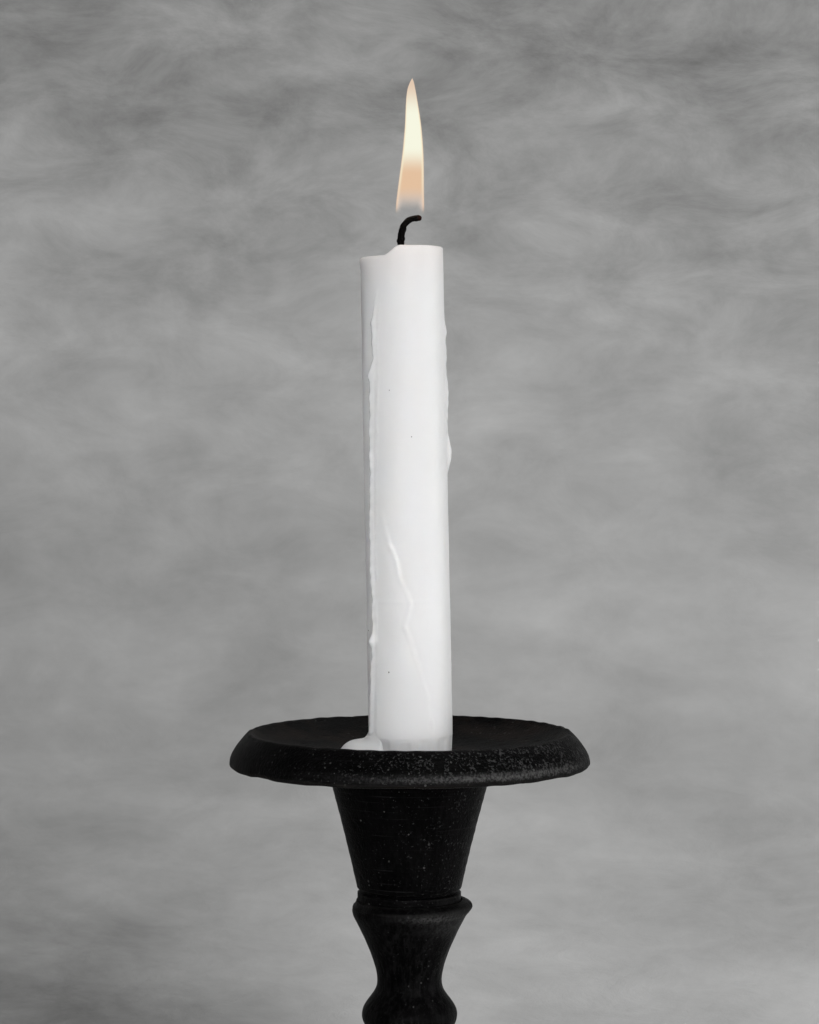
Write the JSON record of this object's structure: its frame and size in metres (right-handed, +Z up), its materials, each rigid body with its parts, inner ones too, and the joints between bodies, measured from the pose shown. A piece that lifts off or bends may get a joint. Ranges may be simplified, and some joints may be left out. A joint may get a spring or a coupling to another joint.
{
  "type": "wooden candlestick",
  "caption": "Turned black wooden candlestick with a wide shallow drip tray over a tapered cup, a beaded knop and stem, and a lift-out dinner candle with set wax runs.",
  "frame": {"origin": "middle of the felt pad's underside, on the table, on the stick's axis", "axes": "+Z up along the stick's axis, +X to the side that the wick bends to, -Y to the front"},
  "size_m": [0.1, 0.1, 0.3852],
  "materials": {
    "felt": "matte",
    "black_wood": "satin",
    "screw_steel": "satin",
    "dowel_wood": "matte",
    "wax": "satin",
    "charred_wick": "matte"
  },
  "bodies": {
    "candlestick": {"felt_pad": "felt", "base": "black_wood", "base_screw": "screw_steel", "base_washer": "screw_steel", "stem": "black_wood", "knop_dowel": "dowel_wood", "knop": "black_wood", "cup_dowel": "dowel_wood", "cup": "black_wood", "drip_tray": "black_wood"},
    "candle": {"candle": "wax", "wick": "charred_wick", "wax_puddle": "wax"}
  },
  "joints": [
    {"name": "candle_lift", "type": "slide", "parent": "candlestick", "child": "candle", "axis": [-0.0187, 0, 0.9998], "range_m": [0, 0.06]}
  ]
}
